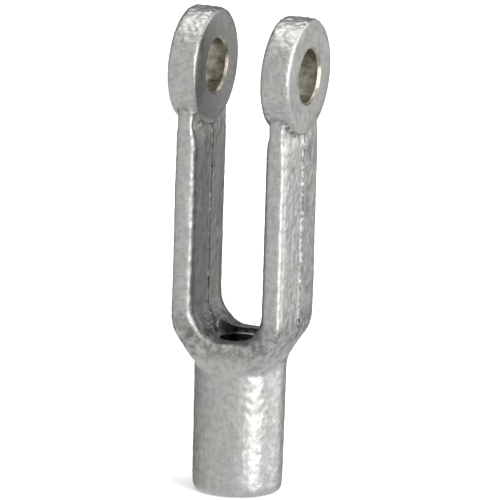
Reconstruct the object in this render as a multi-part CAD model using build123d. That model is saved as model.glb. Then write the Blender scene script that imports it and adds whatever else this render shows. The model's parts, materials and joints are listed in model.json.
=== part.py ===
from build123d import *
import math
import os

os.makedirs("parts", exist_ok=True)

# A long-pattern adjustable yoke end: one drop forging with a round shank, a U-shaped
# fork and an eye on each arm, machined where the rod, the pin and the mating eye go.
# Millimetres. +Z runs up the shank's axis to the eyes, +X runs across the fork along
# the pin, and the forging's parting plane is Y = 0. The origin is the centre of the
# shank's end face.

# Clevis pin, a quarter inch, and its hole
pin_diameter = 6.35
pin_clearance = 0.15
pin_hole_chamfer = 0.3
# from the slot's floor to the pin's axis
pin_rise = 32.9

# Rod thread, 1/4-28 UNF, tapped right through the shank
thread_major_diameter = 6.35
thread_pitch = 25.4 / 28
thread_mouth_clearance = 0.4

# Eyes
eye_diameter = 14.0
eye_gap = 8.25
eye_thickness = 3.7
eye_rim_radius = 0.3

# Arms: the gap and the thickness are those of their front and back faces
arm_gap = 9.8
arm_thickness = 2.0
arm_edge_radius = 0.4
arm_draft = 2.0
fork_depth = 11.25

# Web that blends each arm's front and back into the round of its eye
neck_radius = 1.6
neck_inset = 0.3
neck_relief = 0.02

# Slot between the arms, and how far its floor stands above the round shank
slot_floor_rise = 3.55
slot_corner_radius = 3.5

# Shoulder: a foot that leaves the round shank, then a taper that widens to the arms
shoulder_foot_rise = 1.3
shoulder_taper_rise = 3.65
shoulder_break_width = 8.0
shoulder_bend_radius = 5.0

# Shank, from its end face to the shoulder's foot
shank_length = 15.3
shank_diameter = 11.1
shank_draft = 0.5
shank_end_radius = 0.6

# Flash line that the trimmed dies left along the parting plane
flash_height = 0.1
flash_width = 0.3

shoulder_break_height = shank_length + shoulder_foot_rise
shoulder_top_height = shoulder_break_height + shoulder_taper_rise
slot_floor_height = shank_length + slot_floor_rise
pin_height = slot_floor_height + pin_rise
eye_radius = eye_diameter / 2
half_depth = fork_depth / 2
shank_radius = shank_diameter / 2
slot_half_width = arm_gap / 2
arm_outer = slot_half_width + arm_thickness
draft_rise = half_depth * math.tan(math.radians(arm_draft))
pin_hole_diameter = pin_diameter + pin_clearance
# basic minor diameter of a 60 degree thread
thread_minor_diameter = thread_major_diameter - 1.0825 * thread_pitch
thread_mouth_diameter = thread_major_diameter + thread_mouth_clearance
# a cutter that starts or ends in the air passes the metal by this much
cutter_overrun = 1.0


def point_on_circle(radius, degrees, height):
    angle = math.radians(degrees)
    return (radius * math.cos(angle), radius * math.sin(angle), height)


def fork_section(height, half_width_at_faces, half_width_at_parting):
    """Plan with a flat front and back, and sides drafted to the parting plane."""
    right = half_width_at_faces
    ridge = half_width_at_parting
    corners = [
        (right, -half_depth, height),
        (ridge, 0, height),
        (right, half_depth, height),
        (-right, half_depth, height),
        (-ridge, 0, height),
        (-right, -half_depth, height),
    ]
    return Polyline(*corners, close=True)


def shoulder_break_section():
    """Plan where the taper ends: flat front and back, sides bowed out to the shank."""
    half = shoulder_break_width / 2
    z = shoulder_break_height
    bow = shank_radius - half
    bow_radius = (bow ** 2 + half_depth ** 2) / (2 * bow)
    middle_y = half_depth / 2
    middle_x = shank_radius - bow_radius + math.sqrt(bow_radius ** 2 - middle_y ** 2)
    edges = []
    for side in (1, -1):
        front = (side * half, -side * half_depth, z)
        crown = (side * shank_radius, 0, z)
        back = (side * half, side * half_depth, z)
        edges.append(ThreePointArc(front, (side * middle_x, -side * middle_y, z), crown))
        edges.append(ThreePointArc(crown, (side * middle_x, side * middle_y, z), back))
        edges.append(Line(back, (-side * half, side * half_depth, z)))
    return Wire(edges)


def shoulder_foot_section():
    """The shank's circle, in six arcs that answer the six sides of the plans above it."""
    stops = [-80, 0, 80, 100, 180, 260, 280]
    edges = []
    for start, end in zip(stops, stops[1:]):
        angles = (start, (start + end) / 2, end)
        points = [point_on_circle(shank_radius, a, shank_length) for a in angles]
        edges.append(ThreePointArc(*points))
    return Wire(edges)


def fork_block():
    """Shoulder and arms in one block, before the slot is opened."""
    plan = fork_section(shoulder_top_height, arm_outer, arm_outer + draft_rise)
    taper = Solid.make_loft([Wire(plan.edges()), shoulder_break_section()], ruled=True)
    foot = Solid.make_loft([shoulder_break_section(), shoulder_foot_section()], ruled=True)
    arms = extrude(make_face(plan), pin_height - shoulder_top_height)
    block = taper + foot + arms
    bends = block.edges().filter_by(
        lambda e: abs(e.center().Z - shoulder_top_height) < 0.001
        and abs(e.center().X) > arm_outer - 0.001
    )
    return fillet(bends, shoulder_bend_radius)


def slot():
    """Space between the arms: narrowest at the parting plane, round in its lower corners."""
    plan = fork_section(slot_floor_height, slot_half_width, slot_half_width - draft_rise)
    space = extrude(make_face(plan), pin_height + eye_radius - slot_floor_height)
    corners = space.edges().filter_by(
        lambda e: abs(e.center().Z - slot_floor_height) < 0.001
        and abs(e.center().X) > eye_gap / 2
    )
    return fillet(corners, slot_corner_radius)


def fork():
    """The drafted fork with rounded edges all round its front and back faces."""
    body = fork_block() - slot()
    outline = []
    for face in body.faces():
        if abs(abs(face.center().Y) - half_depth) < 0.001:
            outline += [e for e in face.edges() if e.center().Z < pin_height - 0.001]
    return fillet(outline, arm_edge_radius)


def flash_line():
    """Low ridges down the middle of each arm's inner and outer side, into the eye."""
    bottom = shoulder_top_height + shoulder_bend_radius / 2
    length = pin_height - eye_radius + eye_rim_radius - bottom
    outer = arm_outer + draft_rise
    inner = slot_half_width - draft_rise
    ridges = Part()
    for side in (1, -1):
        for x in (outer, inner):
            ridge = Box(2 * flash_height, flash_width, length)
            ridges += Pos(side * x, 0, bottom + length / 2) * ridge
    return ridges


def shank():
    """Round shank, forged with a slight draft and rounded at its end."""
    end_radius = shank_radius - shank_length * math.tan(math.radians(shank_draft))
    base = (Align.CENTER, Align.CENTER, Align.MIN)
    barrel = Cone(end_radius, shank_radius, shank_length, align=base)
    barrel = fillet(barrel.edges().sort_by(Axis.Z)[0], shank_end_radius)
    core = Cylinder(shank_radius, shoulder_foot_rise, align=base)
    return barrel + Pos(0, 0, shank_length) * core


def eye(side):
    """Boss of one arm, machined flat inside and outside, and the web at its neck."""
    boss = Cylinder(eye_radius, eye_thickness, rotation=(0, 90, 0))
    boss = fillet(boss.edges().filter_by(GeomType.CIRCLE), eye_rim_radius)
    boss = Pos(side * (eye_gap + eye_thickness) / 2, 0, pin_height) * boss

    fillet_centre = half_depth + neck_radius
    neck_drop = math.sqrt((eye_radius + neck_radius) ** 2 - fillet_centre ** 2)
    width = fork_depth - 2 * neck_relief
    outline = Circle(eye_radius) + Pos(0, -neck_drop) * Rectangle(width, 2 * neck_drop)
    corners = outline.vertices().filter_by(lambda v: abs(v.Y) < neck_drop and v.Y < 0)
    outline = fillet(corners, neck_radius)
    web = extrude(outline, arm_thickness / 2 - neck_inset, both=True)
    web = Rot(0, 0, 90) * Rot(90, 0, 0) * web
    web = Pos(side * (slot_half_width + arm_thickness / 2), 0, pin_height) * web
    return boss + web


def pin_hole():
    """Pin hole through both eyes, with a chamfer at each of their four faces."""
    radius = pin_hole_diameter / 2
    mouth = radius + pin_hole_chamfer
    hole = Cylinder(radius, eye_gap + 2 * eye_thickness + 2 * cutter_overrun)
    for side in (1, -1):
        inner_face = side * eye_gap / 2
        outer_face = side * (eye_gap / 2 + eye_thickness)
        for face, into_metal in ((inner_face, side), (outer_face, -side)):
            ends = (mouth, radius) if into_metal > 0 else (radius, mouth)
            sink = Cone(*ends, pin_hole_chamfer)
            hole += Pos(0, 0, face + into_metal * pin_hole_chamfer / 2) * sink
    return Pos(0, 0, pin_height) * Rot(0, 90, 0) * hole


def thread_bore():
    """Bore at the thread's minor diameter, opened to full depth at both of its mouths."""
    base = (Align.CENTER, Align.CENTER, Align.MIN)
    minor = thread_minor_diameter / 2
    mouth = thread_mouth_diameter / 2
    sink = mouth - minor
    bore = Cylinder(minor, slot_floor_height + slot_corner_radius, align=base)
    bore += Cone(mouth, minor, sink, align=base)
    bore += Pos(0, 0, slot_floor_height - sink) * Cone(minor, mouth, sink, align=base)
    bore += Pos(0, 0, slot_floor_height) * Cylinder(mouth, slot_corner_radius, align=base)
    return bore


def yoke_forging():
    body = fork()
    body += flash_line()
    body += shank()
    for side in (1, -1):
        body += eye(side)
    body -= pin_hole()
    return body - thread_bore()


export_step(yoke_forging(), "parts/yoke_forging.step")
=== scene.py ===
# %% [markdown]
# # A forged clevis rod end, finished in Blender
#
# The real object is one piece of steel. It was hammered in a pair of dies, its flash was
# trimmed, its eyes were faced and drilled, its shank was tapped, and all of it was zinc
# plated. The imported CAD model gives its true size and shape. This lesson goes the way the
# shop went: a rough forged skin first, then the machined holes and thread, then the plate.

import json
import math

import bpy
from mathutils import Matrix, Vector

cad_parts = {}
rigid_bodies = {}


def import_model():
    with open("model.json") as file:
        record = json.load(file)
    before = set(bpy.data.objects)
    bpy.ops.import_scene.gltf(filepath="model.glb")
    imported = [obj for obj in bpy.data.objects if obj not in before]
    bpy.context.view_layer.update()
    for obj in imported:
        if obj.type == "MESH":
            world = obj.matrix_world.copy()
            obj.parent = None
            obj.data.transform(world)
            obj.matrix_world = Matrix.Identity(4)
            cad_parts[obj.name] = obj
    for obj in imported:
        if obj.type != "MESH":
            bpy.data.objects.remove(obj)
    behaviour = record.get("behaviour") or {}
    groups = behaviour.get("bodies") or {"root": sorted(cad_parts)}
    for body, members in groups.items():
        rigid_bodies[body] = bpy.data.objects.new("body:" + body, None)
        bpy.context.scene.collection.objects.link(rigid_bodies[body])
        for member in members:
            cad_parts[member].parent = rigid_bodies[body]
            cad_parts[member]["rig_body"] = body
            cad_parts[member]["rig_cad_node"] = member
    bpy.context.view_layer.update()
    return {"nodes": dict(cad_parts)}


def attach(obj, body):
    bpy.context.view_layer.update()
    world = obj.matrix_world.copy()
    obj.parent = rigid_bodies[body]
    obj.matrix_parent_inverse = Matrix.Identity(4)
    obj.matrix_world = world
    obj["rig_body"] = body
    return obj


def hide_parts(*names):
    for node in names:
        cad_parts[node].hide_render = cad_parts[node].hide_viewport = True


MM = 0.001
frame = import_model()
cad_forging = frame["nodes"]["yoke_forging"]
print("CAD triangles:", len(cad_forging.data.polygons))

# %% [markdown]
# ## The camera
#
# The photograph was taken from far away with a long lens, so parallel edges stay parallel
# in it. A camera could be turned by hand until it looks right, but it is easier to correct
# when it is placed by a target, a distance and two angles: how far it has gone round the
# object, and how high it stands. A small roll leans the object to the right, and two small
# slides put it where it stands in the photograph.

# %% Camera
VIEW_AROUND = math.radians(22.0)
VIEW_HEIGHT = math.radians(14.1)
VIEW_ROLL = math.radians(1.65)
VIEW_DISTANCE = 2.3584
TARGET = Vector((0, 0, 30.27 * MM))
SLIDE_RIGHT = -0.714 * MM
SLIDE_UP = 0.814 * MM
SENSOR_WIDTH = 36
FOCAL_LENGTH_IN_WIDTHS = 39.408

forward = Vector(
    (
        -math.sin(VIEW_AROUND) * math.cos(VIEW_HEIGHT),
        math.cos(VIEW_AROUND) * math.cos(VIEW_HEIGHT),
        -math.sin(VIEW_HEIGHT),
    )
)
level_right = Vector((math.cos(VIEW_AROUND), math.sin(VIEW_AROUND), 0))
level_up = level_right.cross(forward)
right = math.cos(VIEW_ROLL) * level_right + math.sin(VIEW_ROLL) * level_up
up = -math.sin(VIEW_ROLL) * level_right + math.cos(VIEW_ROLL) * level_up

camera_data = bpy.data.cameras.new("studio_camera")
camera_data.sensor_width = SENSOR_WIDTH
camera_data.lens = SENSOR_WIDTH * FOCAL_LENGTH_IN_WIDTHS
camera_data.clip_end = 20
camera = bpy.data.objects.new("studio_camera", camera_data)
bpy.context.scene.collection.objects.link(camera)
stand = TARGET - VIEW_DISTANCE * forward - SLIDE_RIGHT * right - SLIDE_UP * up
turn = Matrix((right, up, -forward)).transposed()
camera.matrix_world = Matrix.Translation(stand) @ turn.to_4x4()
bpy.context.scene.camera = camera
bpy.context.scene.view_settings.view_transform = "Standard"
print("camera at", [round(v, 3) for v in stand])

# %% [markdown]
# ## Forge: a copy with an even skin
#
# The dented skin is made on a copy, so that the CAD node stays as it was packed. The CAD
# mesh has open seams, where neighbouring faces keep corners of their own in one place. So
# the copy's corners are merged first: only then is it one closed skin. Working on the CAD
# node itself would be shorter, but nothing could be measured against it afterwards.

# %% Helpers for picking, placing and modifying
def deselect_all():
    if bpy.context.mode != "OBJECT":
        bpy.ops.object.mode_set(mode="OBJECT")
    bpy.ops.object.select_all(action="DESELECT")


def make_active(piece):
    deselect_all()
    piece.select_set(True)
    bpy.context.view_layer.objects.active = piece


def settle(piece, name):
    """Name the piece and put its place into its mesh, so its object sits at the origin."""
    piece.name = name
    make_active(piece)
    bpy.ops.object.transform_apply(location=True, rotation=True, scale=True)
    return piece


def apply_modifier(piece, kind, **settings):
    make_active(piece)
    modifier = piece.modifiers.new(kind.lower(), kind)
    for key, value in settings.items():
        setattr(modifier, key, value)
    bpy.ops.object.modifier_apply(modifier=modifier.name)


# %% Copy the forging and merge its corners
PIN_HEIGHT = 51.75 * MM
PIN_HOLE_RADIUS = 3.25 * MM
PIN_CHAMFER = 0.3 * MM
EYE_INNER = 4.125 * MM
EYE_OUTER = 7.825 * MM
SLOT_FLOOR = 18.85 * MM
SAME_CORNER = 0.001 * MM

make_active(cad_forging)
bpy.ops.object.duplicate()
forging = bpy.context.active_object
forging.name = "forged_yoke"
# the copy is not a CAD node, so it drops the marks of one
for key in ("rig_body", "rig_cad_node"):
    if key in forging:
        del forging[key]
forging.parent = None
corners_before = len(forging.data.vertices)
make_active(forging)
bpy.ops.object.mode_set(mode="EDIT")
bpy.ops.mesh.select_all(action="SELECT")
bpy.ops.mesh.remove_doubles(threshold=SAME_CORNER)
bpy.ops.object.mode_set(mode="OBJECT")
print("corners:", corners_before, "before merging,", len(forging.data.vertices), "after")

# %% [markdown]
# ## Plugs and an even mesh
#
# A forging comes out of the dies without a pin hole or a bore: both are drilled later. So
# plugs fill them. A voxel remesh then melts copy and plugs into one skin of small, even
# squares. Subdividing the CAD mesh would be the other way, but its long thin triangles only
# give more long thin triangles, and those can't carry dents. The plugs stop a hair below
# the eyes' faces and the slot's floor, so that they don't show there.

# %% Plug the holes and remesh
ROUND_SIDES = 96
PLUG_MARGIN = 0.1 * MM
PLUG_SETBACK = 0.01 * MM
BORE_PLUG_RADIUS = 3.6 * MM
SKIN_SQUARE = 0.2 * MM
ALONG_PIN = (0, math.pi / 2, 0)


def add_cylinder(name, radius, length, centre, turned=(0, 0, 0)):
    deselect_all()
    bpy.ops.mesh.primitive_cylinder_add(
        vertices=ROUND_SIDES, radius=radius, depth=length, location=centre, rotation=turned
    )
    return settle(bpy.context.active_object, name)


plug_radius = PIN_HOLE_RADIUS + PIN_CHAMFER + PLUG_MARGIN
plug_length = EYE_OUTER - EYE_INNER - 2 * PLUG_SETBACK
bore_plug_length = SLOT_FLOOR - 2 * PLUG_SETBACK
plugs = []
for side in (1, -1):
    middle = (side * (EYE_INNER + EYE_OUTER) / 2, 0, PIN_HEIGHT)
    plugs.append(add_cylinder("eye_plug", plug_radius, plug_length, middle, ALONG_PIN))
middle = (0, 0, SLOT_FLOOR / 2)
plugs.append(add_cylinder("bore_plug", BORE_PLUG_RADIUS, bore_plug_length, middle))
make_active(forging)
for plug in plugs:
    plug.select_set(True)
bpy.ops.object.join()
apply_modifier(forging, "REMESH", mode="VOXEL", voxel_size=SKIN_SQUARE)
print("forged skin:", len(forging.data.polygons), "faces")

# %% [markdown]
# ## The skin that the cutters never touch
#
# Hot scale and worn dies leave a forging wavy and pitted, but the eyes' faces and the
# shank's foot are machined flat afterwards. A vertex group marks the skin, because a
# modifier acts in full where a group's weight is 1 and not at all where it is 0. The group
# could be painted by hand; a rule on a corner's place and normal gives the same each time.

# %% Mark the skin and the ground rims of the eyes
EYE_FOOT = 44.5
FACED_INSIDE = 4.3
FACED_OUTSIDE = 7.6
FACED_FOOT = 0.3
GROUND_REACH = 6.6
GROUND_ABOVE = 46
GROUND_BESIDE = 4


def group_by(piece, name, weigh):
    """Fill a group by what weigh says of each corner's place, in mm, and its normal."""
    group = piece.vertex_groups.new(name=name)
    levels = {}
    for vertex in piece.data.vertices:
        weight = round(weigh(vertex.co / MM, vertex.normal), 1)
        if weight > 0:
            levels.setdefault(weight, []).append(vertex.index)
    for weight, members in levels.items():
        group.add(members, weight, "REPLACE")
    print(name, {weight: len(members) for weight, members in sorted(levels.items())})


def from_pin_axis(place):
    """Distance from the pin's axis, in mm."""
    return math.hypot(place.y, place.z - PIN_HEIGHT / MM)


def skin_weight(place, normal):
    """All of the forging but the eyes' machined faces and the shank's foot."""
    on_side_face = abs(normal.x) > 0.9 and not FACED_INSIDE < abs(place.x) < FACED_OUTSIDE
    on_eye_face = on_side_face and place.z > EYE_FOOT
    on_foot = place.z < FACED_FOOT and normal.z < -0.5
    return 0.0 if on_eye_face or on_foot else 1.0


def rim_weight(place, normal):
    """The upper round of the eyes, where the flash was ground away."""
    on_round = from_pin_axis(place) >= GROUND_REACH and abs(normal.x) <= 0.8
    on_eye = place.z >= GROUND_ABOVE and abs(place.x) >= GROUND_BESIDE
    return 1.0 if on_round and on_eye else 0.0


group_by(forging, "skin", skin_weight)
group_by(forging, "rim", rim_weight)

# %% [markdown]
# ## Fuller arms
#
# The dies left the arms and the crotch a little fuller than the CAD model's walls, most of
# all inside the fork, in front of the parting line. Scaling the arms would move their
# outer and inner sides the same way, so a Displace modifier without a texture is used: it
# pushes a group out along its normals by one even amount, and the long sides stay straight.

# %% Swell the arms and the crotch
SHOULDER_FOOT = 17
SLOT_FOOT = 18
ARM_TOP = 45
FADE_UPWARDS = 3
FADE_DOWNWARDS = 1.5
FADE_TO_FRONT = 3
INNER_SIDE_LIMIT = 6.2
CROTCH_HALF_WIDTH = 5.2
CROTCH_FOOT = 18.5
CROTCH_TOP = 30
ARM_SWELL = 0.25 * MM
FRONT_SWELL = 0.25 * MM
CROTCH_SWELL = 0.35 * MM


def arm_fade(place, foot):
    """1 along the arms, fading to 0 at the height of their foot and at the eyes."""
    above_foot = (place.z - foot) / FADE_UPWARDS
    below_eyes = (ARM_TOP - place.z) / FADE_DOWNWARDS
    return max(0.0, min(1.0, above_foot, below_eyes))


def swell_weight(place, normal):
    """The sides of the arms and the slot's floor, but not the fork's front and back."""
    return arm_fade(place, SHOULDER_FOOT) * (1 - abs(normal.y))


def front_weight(place, normal):
    """The inner sides of the arms in front of the parting line."""
    if abs(place.x) > INNER_SIDE_LIMIT or normal.x * place.x > 0:
        return 0.0
    ahead = min(1.0, max(0.0, -place.y / FADE_TO_FRONT))
    return arm_fade(place, SLOT_FOOT) * abs(normal.x) * ahead


def crotch_weight(place, normal):
    """The two hollow corners between the arms and the slot's floor."""
    in_slot = abs(place.x) <= CROTCH_HALF_WIDTH and CROTCH_FOOT < place.z < CROTCH_TOP
    faces_up = normal.z >= 0.02
    return min(1.0, 2 * abs(normal.x) * normal.z) if in_slot and faces_up else 0.0


def swell(group, height):
    apply_modifier(forging, "DISPLACE", strength=height, mid_level=0.0, vertex_group=group)


group_by(forging, "arm_sides", swell_weight)
group_by(forging, "front_sides", front_weight)
group_by(forging, "crotch_corners", crotch_weight)
swell("arm_sides", ARM_SWELL)
swell("crotch_corners", CROTCH_SWELL)
swell("front_sides", FRONT_SWELL)

# %% [markdown]
# ## Softer edges
#
# Steel never quite fills the corners of a die, and dies wear, so the long edges come out
# round. A Bevel would need the clean edges that a remeshed skin no longer has. The Smooth
# modifier melts the skin instead: each pass draws every corner towards its neighbours, so
# the more passes a group gets, the wider its rounds. The line of the flash is marked in
# the same go, before any pass has moved a corner, and is dented in the next step.

# %% Mark the edges and the line of the flash
FOOT_EDGE_TOP = 1.8
FOOT_EDGE_REACH = 4.2
EDGE_START = 15.5
EDGE_DEPTH = 2.8
INNER_EDGE_START = 19
INNER_EDGE_END = 44
INNER_EDGE_LIMIT = 6
INNER_EDGE_DEPTH = 3
EYE_START = 44.8
EYE_CORNER_REACH = 5.4
FLASH_START = 21
FLASH_HALF_WIDTH = 0.16


def arm_edge_weight(place, normal):
    """The long edges of the arms, the crotch's edges and the edge of the shank's foot."""
    from_shank_axis = math.hypot(place.x, place.y)
    at_foot = place.z < FOOT_EDGE_TOP and from_shank_axis > FOOT_EDGE_REACH
    on_arm = EDGE_START <= place.z <= ARM_TOP and abs(place.y) >= EDGE_DEPTH
    return 1.0 if at_foot or on_arm else 0.0


def inner_edge_weight(place, normal):
    """The two long edges of each arm beside the slot, the softest ones."""
    beside_slot = abs(place.x) <= INNER_EDGE_LIMIT and abs(place.y) >= INNER_EDGE_DEPTH
    return 1.0 if beside_slot and INNER_EDGE_START < place.z < INNER_EDGE_END else 0.0


def eye_corner_weight(place, normal):
    """The edges all round the eyes."""
    return 1.0 if from_pin_axis(place) >= EYE_CORNER_REACH and place.z >= EYE_START else 0.0


def flash_weight(place, normal):
    """The thin line of metal that the trimmer left down the middle of both arms."""
    on_line = abs(place.y) <= FLASH_HALF_WIDTH and abs(normal.x) >= 0.3
    return 1.0 if on_line and FLASH_START < place.z < EYE_START else 0.0


group_by(forging, "arm_edges", arm_edge_weight)
group_by(forging, "inner_edges", inner_edge_weight)
group_by(forging, "eye_corners", eye_corner_weight)
group_by(forging, "flash", flash_weight)


# %% Round the edges
def soften(group, passes):
    apply_modifier(forging, "SMOOTH", factor=0.5, iterations=passes, vertex_group=group)


soften("arm_edges", passes=40)
soften("inner_edges", passes=45)
soften("eye_corners", passes=22)
print("softened:", len(forging.data.vertices), "corners kept")

# %% [markdown]
# ## Waves, pits, grinding marks and torn flash
#
# The rough skin could be sculpted, but nobody can tell one pit from another. A Displace
# modifier with a cloud texture dents it all at once: the texture's grain sets how wide a
# dent is, the strength how deep. The middle level is the grey that leaves the skin where it
# is, so above 0.5 there are more pits than bumps, and below it more bumps than pits, as on
# the ragged line of flash that the trimmer tore off.

# %% Dent the skin
def dent(name, group, grain, height, middle, detail=2):
    texture = bpy.data.textures.new(name, "CLOUDS")
    texture.noise_scale = grain
    texture.noise_depth = detail
    apply_modifier(
        forging,
        "DISPLACE",
        texture=texture,
        texture_coords="LOCAL",
        strength=height,
        mid_level=middle,
        vertex_group=group,
    )
    print(name, "grain", round(grain / MM, 2), "mm, height", round(height / MM, 2), "mm")


dent("forging_waves", "skin", 3.5 * MM, 0.09 * MM, middle=0.6, detail=1)
dent("scale_pits", "skin", 0.7 * MM, 0.09 * MM, middle=0.6)
dent("rim_grinding", "rim", 0.5 * MM, 0.24 * MM, middle=0.7)
dent("torn_flash", "flash", 0.5 * MM, 0.26 * MM, middle=0.3)

# %% [markdown]
# ## Drilling the eyes
#
# Now the cutters come, as in the shop. The holes could have been kept from the CAD mesh,
# but the dents would have spoilt them. A Boolean takes a cutter's shape away from the
# forging, so its edges come out crisp. The drill is a cylinder with a cone at each face of
# the eyes, which leaves the chamfers. What it cuts takes the cutter's material, so the
# walls can have a finish of their own.

# %% Three materials, to be painted later
zinc = bpy.data.materials.new("zinc_plate")
drilled_steel = bpy.data.materials.new("drilled_steel")
tapped_steel = bpy.data.materials.new("tapped_steel")
forging.data.materials.clear()
for material in (zinc, drilled_steel, tapped_steel):
    material.use_nodes = True
    forging.data.materials.append(material)
print("slots:", [material.name for material in forging.data.materials])

# %% Drill the pin hole
DRILL_OVERRUN = 1 * MM


def add_cone(name, radius_low, radius_high, height, centre, turned=(0, 0, 0)):
    deselect_all()
    bpy.ops.mesh.primitive_cone_add(
        vertices=ROUND_SIDES,
        radius1=radius_low,
        radius2=radius_high,
        depth=height,
        location=centre,
        rotation=turned,
    )
    return settle(bpy.context.active_object, name)


def combine(piece, other, operation):
    apply_modifier(piece, "BOOLEAN", operation=operation, solver="EXACT", object=other)
    bpy.data.objects.remove(other)


drill_length = 2 * (EYE_OUTER + DRILL_OVERRUN)
drill = add_cylinder("drill", PIN_HOLE_RADIUS, drill_length, (0, 0, PIN_HEIGHT), ALONG_PIN)
wide = PIN_HOLE_RADIUS + 2 * PIN_CHAMFER
for side in (1, -1):
    for face, into_metal in ((EYE_INNER, side), (EYE_OUTER, -side)):
        ends = (wide, PIN_HOLE_RADIUS) if into_metal > 0 else (PIN_HOLE_RADIUS, wide)
        place = (side * face, 0, PIN_HEIGHT)
        countersink = add_cone("countersink", *ends, 2 * PIN_CHAMFER, place, ALONG_PIN)
        combine(drill, countersink, "UNION")
drill.data.materials.append(drilled_steel)
combine(forging, drill, "DIFFERENCE")
print("drilled:", len(forging.data.polygons), "faces")

# %% [markdown]
# ## Tapping the shank
#
# A quarter-inch thread with 28 turns an inch runs through the shank. The tap is modelled as
# it is ground: one tooth's outline, a flat and a V cut off at its tip, is wound up the axis
# by one pitch a turn with the Screw modifier. A ring pattern would be simpler, but rings
# don't climb, and the thread's first turn is seen at the fork's floor. The winding is then
# cut off flat below the foot and above the floor, and closed, since a Boolean needs a
# closed shape.

# %% Wind the tap
PITCH = 25.4 / 28 * MM
MAJOR_RADIUS = 3.175 * MM
MINOR_RADIUS = 2.684 * MM
FLAT_END, TIP_START, TIP_END = 0.22 * PITCH, 0.54 * PITCH, 0.68 * PITCH
TURNS = 24
STEPS_A_TURN = 72
TAP_RUN_IN = 1.2 * PITCH
SAME_POINT = 0.0005 * MM

outline = bpy.data.meshes.new("tap")
outline.from_pydata(
    [
        (MINOR_RADIUS, 0, 0),
        (MINOR_RADIUS, 0, FLAT_END),
        (MAJOR_RADIUS, 0, TIP_START),
        (MAJOR_RADIUS, 0, TIP_END),
        (MINOR_RADIUS, 0, PITCH),
    ],
    [(0, 1), (1, 2), (2, 3), (3, 4)],
    [],
)
tap = bpy.data.objects.new("tap", outline)
bpy.context.scene.collection.objects.link(tap)
apply_modifier(
    tap,
    "SCREW",
    angle=2 * math.pi,
    screw_offset=PITCH,
    iterations=TURNS,
    steps=STEPS_A_TURN,
    render_steps=STEPS_A_TURN,
    use_merge_vertices=True,
    merge_threshold=SAME_POINT,
)
print("tap:", len(tap.data.polygons), "faces")

# %% Trim the tap, close it and cut the thread
TAP_BOTTOM = -0.3 * MM
TAP_TOP = SLOT_FLOOR + 0.4 * MM
ON_PLANE = 0.0001 * MM

make_active(tap)
bpy.ops.object.mode_set(mode="EDIT")
bpy.ops.mesh.select_all(action="SELECT")
bpy.ops.mesh.remove_doubles(threshold=SAME_POINT)
bpy.ops.transform.translate(value=(0, 0, -TAP_RUN_IN))
for height, keep_below in ((TAP_BOTTOM, False), (TAP_TOP, True)):
    bpy.ops.mesh.select_all(action="SELECT")
    bpy.ops.mesh.bisect(
        plane_co=(0, 0, height),
        plane_no=(0, 0, 1),
        use_fill=True,
        clear_outer=keep_below,
        clear_inner=not keep_below,
        threshold=ON_PLANE,
    )
bpy.ops.mesh.select_all(action="SELECT")
bpy.ops.mesh.normals_make_consistent(inside=False)
bpy.ops.object.mode_set(mode="OBJECT")
tap.data.materials.append(tapped_steel)
combine(forging, tap, "DIFFERENCE")
print("tapped:", len(forging.data.polygons), "faces")

# %% [markdown]
# ## Opening the thread's mouths
#
# A tap starts cleanly only in an opened hole. At the foot the mouth is a 45 degree
# countersink, a cone that begins a little below the metal. At the fork's floor a wider
# drill has gone in straight and cut a short step into the metal on its way down. Bevelling
# the bore's rim would be the other way, but the thread runs out through that rim, and a
# bevel needs one whole edge.

# %% Open both mouths
MOUTH_RADIUS = 3.375 * MM
SINK_OVERRUN = 0.2 * MM
STEP_DEPTH = 0.35 * MM
STEP_REACH = 3.55 * MM

sink = MOUTH_RADIUS - MINOR_RADIUS
foot_middle = (0, 0, (sink - SINK_OVERRUN) / 2)
foot_sink = add_cone(
    "foot_sink", MOUTH_RADIUS + SINK_OVERRUN, MINOR_RADIUS, sink + SINK_OVERRUN, foot_middle
)
combine(forging, foot_sink, "DIFFERENCE")
step_middle = (0, 0, SLOT_FLOOR + (STEP_REACH - STEP_DEPTH) / 2)
mouth = add_cylinder("mouth", MOUTH_RADIUS, STEP_REACH + STEP_DEPTH, step_middle)
mouth.data.materials.append(tapped_steel)
combine(forging, mouth, "DIFFERENCE")
print("mouths opened:", len(forging.data.polygons), "faces")

# %% [markdown]
# ## Smooth shading
#
# The small squares should read as one skin, but the drilled edges should stay sharp. Plain
# smooth shading would round off both. Smooth shading by angle tells them apart: an edge
# that turns by more than 40 degrees stays hard.

# %% Shade and measure
HARD_EDGE = math.radians(40)

make_active(forging)
bpy.ops.object.shade_smooth_by_angle(angle=HARD_EDGE)
low = [min(vertex.co[i] for vertex in forging.data.vertices) / MM for i in range(3)]
high = [max(vertex.co[i] for vertex in forging.data.vertices) / MM for i in range(3)]
print("forging box, mm:", [round(v, 3) for v in low + high])

# %% [markdown]
# ## Shader maths
#
# A material is a graph of nodes, and most of them do sums. Wiring sums by hand hides what
# they say. The small class below wraps a socket and lets Python's own signs add the Math
# nodes, so that 1 - mask or a * b + c can be written as they are meant. Its method node
# adds any other node: the node's type, its settings, and the values or links it takes.

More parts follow.
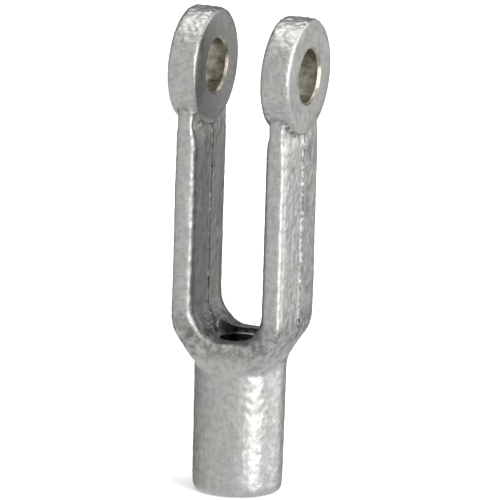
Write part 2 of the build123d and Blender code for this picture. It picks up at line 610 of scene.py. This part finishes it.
# %% A socket that can be reckoned with
class Wire:
    """A shader socket that can be added, multiplied and so on like a number."""

    def __init__(self, tree, socket=None):
        self.tree = tree
        self.socket = socket

    def node(self, kind, settings, values, out=0):
        """Add a node, set its settings, then set or link the sockets that values names."""
        made = self.tree.nodes.new(kind)
        for key, value in settings.items():
            if key == "stops":
                for stop, (position, colour) in zip(made.color_ramp.elements, value):
                    stop.position = position
                    stop.color = colour
            else:
                setattr(made, key, value)
        pairs = values.items() if isinstance(values, dict) else enumerate(values)
        for name, value in pairs:
            if isinstance(value, Wire):
                self.tree.links.new(value.socket, made.inputs[name])
            else:
                made.inputs[name].default_value = value
        return Wire(self.tree, made.outputs[out])

    def maths(self, operation, *values, clamp=False):
        settings = {"operation": operation, "use_clamp": clamp}
        return self.node("ShaderNodeMath", settings, values)

    def __add__(self, other):
        return self.maths("ADD", self, other)

    def __mul__(self, other):
        return self.maths("MULTIPLY", self, other)

    def __sub__(self, other):
        return self.maths("SUBTRACT", self, other)

    def __rsub__(self, other):
        return self.maths("SUBTRACT", other, self)

    def __abs__(self):
        return self.maths("ABSOLUTE", self)

    __radd__ = __add__
    __rmul__ = __mul__

    def clamp(self):
        return self.maths("ADD", self, 0.0, clamp=True)

    def pick(self, name):
        """Another output of the node that this wire comes from."""
        return Wire(self.tree, self.socket.node.outputs[name])

    def feed(self, shader, name):
        self.tree.links.new(self.socket, shader.inputs[name])


# %% Noise, ramps, blends and bumps
BLACK, WHITE = (0, 0, 0, 1), (1, 1, 1, 1)


def noise(place, scale, detail=3.0, rough=0.55):
    """Cloudy grey noise, with about scale clouds to the metre."""
    values = {"Vector": place, "Scale": scale, "Detail": detail, "Roughness": rough}
    return place.node("ShaderNodeTexNoise", {}, values)


def ramp(value, low, high):
    """0 below low, 1 above high and an even slope between them."""
    stops = [(low, BLACK), (high, WHITE)]
    return value.node("ShaderNodeValToRGB", {"stops": stops}, {"Fac": value})


def blend(share, first, second):
    """The first colour where share is 0, the second where it is 1."""
    values = {0: share, 6: first, 7: second}
    return share.node("ShaderNodeMix", {"data_type": "RGBA"}, values, out=2)


def bump(height, strength, distance):
    values = {"Strength": strength, "Distance": distance, "Height": height}
    return height.node("ShaderNodeBump", {}, values)


def object_coordinates(material):
    return Wire(material.node_tree).node("ShaderNodeTexCoord", {}, {}, out="Object")


# %% [markdown]
# ## Zinc plate
#
# Bright zinc is a metal coat, so Metallic is 1 and the base colour is the colour of its
# mirror image: a neutral grey with faint warm and lilac patches from the chromate rinse,
# and dull stains between them. Inside the fork the colour is darker: that is painted shade,
# for the arms shade each other there. Black dirt sits along the torn flash and in pits.
# Painted shade darkens the flash inside the fork, the crotch and the creases below the
# eyes.
# The dark mask is a sum of masks: the pits are noise alone, and the others come from the
# place on the part, in Object coordinates, times a noise that breaks them up. A painted
# picture could do the same, but it would need an unwrapped mesh. A fine bump makes the
# grain that is too small to model.

# %% Where the dirt and the painted shade sit
def height_ramp(parts, low, high):
    """0 below the height low on the part, 1 above the height high, both in millimetres."""
    return ramp(parts.pick("Z") * 10.0, low / 100, high / 100)


def dirt_and_painted_shade(place):
    """Two masks: dirt and painted shade on the plate, and painted shade inside the fork."""
    parts = place.node("ShaderNodeSeparateXYZ", {}, {"Vector": place})
    below_eyes = 1 - height_ramp(parts, 44.5, 45.5)
    torn = 1 - ramp(noise(place, 1400.0, 4.0, 0.7), 0.42, 0.56)
    pits = 1 - ramp(noise(place, 2400.0, 5.0, 0.7), 0.33, 0.42)

    # in centimetres; the eyes stand closer together than the arms, so more is added there
    from_middle = abs(parts.pick("X")) * 100.0 + (1 - below_eyes) * 0.055
    # painted shade inside the fork, where the arms shade each other
    fork_shade = (1 - ramp(from_middle, 0.47, 0.52)) * height_ramp(parts, 18.5, 20)

    # dirt along the torn flash, plus painted shade on it inside the fork
    near_flash = 1 - ramp(abs(parts.pick("Y")) * 1000.0, 0.15, 0.45)
    along_arms = below_eyes * height_ramp(parts, 18, 20)
    flash_dirt_and_shade = near_flash * along_arms * (torn * 0.85 + fork_shade * 0.45)

    # painted shade in a band around the slot's floor, in the crotch and on the front below
    # it, broken into blotches
    blotches = 1 - ramp(noise(place, 1100.0, 4.0, 0.65), 0.42, 0.60)
    crotch_shade = (1 - height_ramp(parts, 20, 24)) * height_ramp(parts, 16.5, 18) * blotches

    # the square of the distance from the pin's axis, in square centimetres
    beside_pin = (parts.pick("Z") - PIN_HEIGHT) * 100.0
    from_pin = parts.pick("Y") * parts.pick("Y") * 10000.0 + beside_pin * beside_pin
    under_eye = ramp(from_pin, 0.475, 0.50) * (1 - ramp(from_pin, 0.52, 0.60))
    # painted shade in the creases below the eyes, broken up by noise
    crease_shade = under_eye * torn * (1 - height_ramp(parts, 46.5, 48.5))

    # dirt in pits and along the flash, and painted shade in the fork, the crotch and the
    # creases
    dirt_and_shade = flash_dirt_and_shade + pits * 0.45 + crotch_shade * 0.6 + crease_shade * 0.9
    return dirt_and_shade.clamp(), fork_shade


# %% Paint the zinc
WARM_ZINC = (0.48, 0.48, 0.46, 1)
LILAC_ZINC = (0.47, 0.46, 0.48, 1)
STAINED_ZINC = (0.36, 0.36, 0.34, 1)
# the colour of the painted shade inside the fork
SHADED_ZINC = (0.06, 0.06, 0.058, 1)
# the colour of both the dirt and the painted shade in the dark mask
GRIME_AND_SHADE = (0.10, 0.10, 0.095, 1)
FORK_SHADE_SHARE = 0.42


def paint_zinc(material):
    shader = material.node_tree.nodes["Principled BSDF"]
    place = object_coordinates(material)
    patches = ramp(noise(place, 160.0, 2.0), 0.4, 0.62)
    clean = ramp(noise(place, 1300.0, 5.0, 0.7), 0.34, 0.58)
    dirt_and_shade, fork_shade = dirt_and_painted_shade(place)
    plate = blend(clean, STAINED_ZINC, blend(patches, WARM_ZINC, LILAC_ZINC))
    # dirt and painted shade darken the plate
    plate = blend(dirt_and_shade, plate, GRIME_AND_SHADE)
    # painted shade darkens the plate inside the fork
    blend(fork_shade * FORK_SHADE_SHARE, plate, SHADED_ZINC).feed(shader, "Base Color")

    dull = noise(place, 700.0, 4.0, 0.6)
    (0.30 + dull * 0.30).clamp().feed(shader, "Roughness")
    grain = noise(place, 2600.0, 4.0, 0.6) + noise(place, 1100.0, 3.0, 0.5) * 1.5
    bump(grain, 0.5, 0.03 * MM).feed(shader, "Normal")
    shader.inputs["Metallic"].default_value = 1.0
    print(material.name, len(material.node_tree.nodes), "nodes")


paint_zinc(zinc)

# %% [markdown]
# ## The cut walls
#
# The plate throws worst of all into a narrow hole. So the drilled wall keeps a thin, olive
# brown film, and the threaded one is nearly bare and dark. Both show the rings that their
# tools left. Modelled rings would be too fine for the mesh, so they are a wave along the
# hole's own axis, as a fine bump.

# %% Paint the walls of the pin hole and of the rod's thread
def paint_cut_steel(material, dark, pale, rings_along, roughness):
    shader = material.node_tree.nodes["Principled BSDF"]
    place = object_coordinates(material)
    film = ramp(noise(place, 800.0, 3.0, 0.6), 0.35, 0.65)
    blend(film, dark, pale).feed(shader, "Base Color")
    ring_values = {"Vector": place, "Scale": 900.0, "Distortion": 2.0, "Detail": 2.0}
    settings = {"bands_direction": rings_along}
    rings = place.node("ShaderNodeTexWave", settings, ring_values, out="Fac")
    bump(rings, 0.3, 0.02 * MM).feed(shader, "Normal")
    shader.inputs["Roughness"].default_value = roughness
    shader.inputs["Metallic"].default_value = 1.0
    print(material.name, len(material.node_tree.nodes), "nodes")


paint_cut_steel(drilled_steel, (0.17, 0.155, 0.12, 1), (0.46, 0.435, 0.36, 1), "X", 0.4)
paint_cut_steel(tapped_steel, (0.05, 0.05, 0.048, 1), (0.30, 0.30, 0.29, 1), "Z", 0.35)

# %% [markdown]
# ## Tell the frame
#
# The forging belongs to the part's only body and takes the slot of the zinc-plated steel.
# The CAD node that it was copied from gets the same material and is hidden, so the forging
# is seen in its place.

# %% Body, node and slot
cad_forging.data.materials.clear()
cad_forging.data.materials.append(zinc)
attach(forging, "root")
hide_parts("yoke_forging")

# %% [markdown]
# ## The floor
#
# The photograph's ground is pure white with hardly a shadow, like a table that is lit from
# below. A white background alone would leave the part in the air, with no shadow at its
# foot. So it stands on a white plane that gives a little light of its own.

# %% Floor
FLOOR_SIZE = 6
PAPER_WHITE = (0.9, 0.9, 0.9, 1)
PAPER_GLOW = 0.2

deselect_all()
bpy.ops.mesh.primitive_plane_add(size=FLOOR_SIZE, location=(0, 0, 0))
floor = bpy.context.active_object
floor.name = "floor"
paper = bpy.data.materials.new("paper")
paper.use_nodes = True
paper_shader = paper.node_tree.nodes["Principled BSDF"]
paper_shader.inputs["Base Color"].default_value = PAPER_WHITE
paper_shader.inputs["Roughness"].default_value = 0.9
paper_shader.inputs["Emission Color"].default_value = WHITE
paper_shader.inputs["Emission Strength"].default_value = PAPER_GLOW
floor.data.materials.append(paper)
print("floor:", FLOOR_SIZE, "m wide")

# %% [markdown]
# ## Soft boxes
#
# Polished metal has almost no colour of its own: it shows the room. Lamps are therefore
# placed by what they should be mirrored in. One box hangs overhead for the bright rounds of
# the eyes. A tall one stands on the right for the streak down the shank and the bright
# front edges of the arms. A third stands behind it, on the same side, for the outer face of
# the right arm and the shank's right-hand third.

# %% Soft boxes
LIT_POINT = Vector((0, 0, 30 * MM))


def soft_box(name, around, height, distance, width, tall, power):
    """around: degrees from the front (-Y) towards +X; height: degrees above the floor."""
    turn = math.radians(around)
    rise = math.radians(height)
    level = math.cos(rise)
    towards = Vector((math.sin(turn) * level, -math.cos(turn) * level, math.sin(rise)))
    lamp = bpy.data.lights.new(name, "AREA")
    lamp.shape = "RECTANGLE"
    lamp.size = width
    lamp.size_y = tall
    lamp.energy = power
    box = bpy.data.objects.new(name, lamp)
    bpy.context.scene.collection.objects.link(box)
    box.location = LIT_POINT + towards * distance
    box.rotation_euler = (-towards).to_track_quat("-Z", "Y").to_euler()
    print(name, "at", [round(v, 2) for v in box.location])


soft_box("top_box", around=180, height=80, distance=1.0, width=1.0, tall=0.9, power=7)
soft_box("right_box", around=62, height=12, distance=1.2, width=0.66, tall=1.1, power=20)
soft_box("side_box", around=124, height=12, distance=1.2, width=0.9, tall=1.2, power=11)

# %% [markdown]
# ## The room
#
# What the lamps don't fill, the room does. A studio is pale in front, where the
# photographer stands, and dark at the back, so the world is a ramp along Y. Seen from the
# part, the lower part of the room is a white table. The real floor stays out of the mirror
# images, because a plane has a hard horizon that would draw a line on every round.

# %% The room
PALE_WALL = (0.90, 0.90, 0.89, 1)
DARK_WALL = (0.06, 0.06, 0.055, 1)
TABLE = (1.0, 1.0, 0.99, 1)

floor.visible_glossy = False
world = bpy.data.worlds.new("studio")
bpy.context.scene.world = world
world.use_nodes = True
direction = Wire(world.node_tree).node("ShaderNodeTexCoord", {}, {}, out="Generated")
parts = direction.node("ShaderNodeSeparateXYZ", {}, {"Vector": direction})
towards_back = ramp(parts.pick("Y") * 0.5 + 0.5, 0.2, 0.85)
downwards = ramp(parts.pick("Z") * -0.5 + 0.5, 0.64, 0.72)
background = world.node_tree.nodes["Background"]
blend(downwards, blend(towards_back, PALE_WALL, DARK_WALL), TABLE).feed(background, "Color")
background.inputs["Strength"].default_value = 1.0
print("room:", len(world.node_tree.nodes), "nodes")
